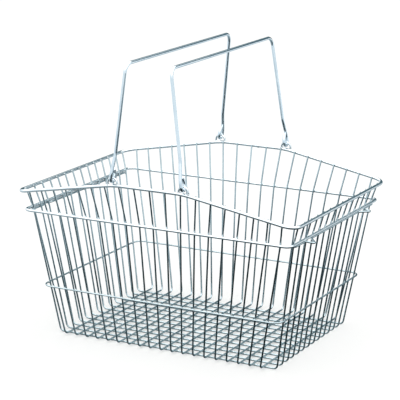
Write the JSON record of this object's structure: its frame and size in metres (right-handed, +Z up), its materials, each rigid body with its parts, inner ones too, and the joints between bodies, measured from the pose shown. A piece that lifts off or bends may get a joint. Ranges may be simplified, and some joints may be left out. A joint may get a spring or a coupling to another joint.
{
  "type": "wire shopping basket",
  "caption": "Tapered wire shopping basket with an arched rim, outer rings, a square wire grid bottom and swinging bail handles.",
  "frame": {"origin": "middle of the basket's footprint, on the surface it stands on", "axes": "+X along the basket, +Y across it from front to back, +Z up; the handles' hinge lines run along Y"},
  "size_m": [0.437, 0.3312, 0.4089],
  "materials": {
    "rim_wire": "bright plated",
    "body_wire": "bright plated",
    "handle_wire": "bright plated"
  },
  "bodies": {
    "basket": {"top_rim": "rim_wire", "belt_ring": "rim_wire", "waist_ring": "body_wire", "side_wire_01": "body_wire", "side_wire_02": "body_wire", "side_wire_03": "body_wire", "side_wire_04": "body_wire", "side_wire_05": "body_wire", "side_wire_06": "body_wire", "side_wire_07": "body_wire", "side_wire_08": "body_wire", "side_wire_09": "body_wire", "side_wire_10": "body_wire", "side_wire_11": "body_wire", "side_wire_12": "body_wire", "side_wire_13": "body_wire", "side_wire_14": "body_wire", "side_wire_15": "body_wire", "side_wire_16": "body_wire", "side_wire_17": "body_wire", "side_wire_18": "body_wire", "side_wire_19": "body_wire", "end_wire_01": "body_wire", "end_wire_02": "body_wire", "end_wire_03": "body_wire", "end_wire_04": "body_wire", "end_wire_05": "body_wire", "end_wire_06": "body_wire", "end_wire_07": "body_wire", "end_wire_08": "body_wire", "end_wire_09": "body_wire", "end_wire_10": "body_wire", "end_wire_11": "body_wire", "end_wire_12": "body_wire", "end_wire_13": "body_wire", "end_wire_14": "body_wire", "left_stacking_bar": "body_wire", "right_stacking_bar": "body_wire", "front_left_eyelet": "rim_wire", "front_right_eyelet": "rim_wire", "back_left_eyelet": "rim_wire", "back_right_eyelet": "rim_wire"},
    "left_bail": {"left_handle": "handle_wire"},
    "right_bail": {"right_handle": "handle_wire"}
  },
  "joints": [
    {"name": "left_handle_swing", "type": "hinge", "parent": "basket", "child": "left_bail", "pos_m": [-0.0546, 0, 0.2454], "axis": [0, 1, 0], "range_deg": [-106.5, 12.1]},
    {"name": "right_handle_swing", "type": "hinge", "parent": "basket", "child": "right_bail", "pos_m": [0.0546, 0, 0.2454], "axis": [0, 1, 0], "range_deg": [-10.6, 108]}
  ]
}
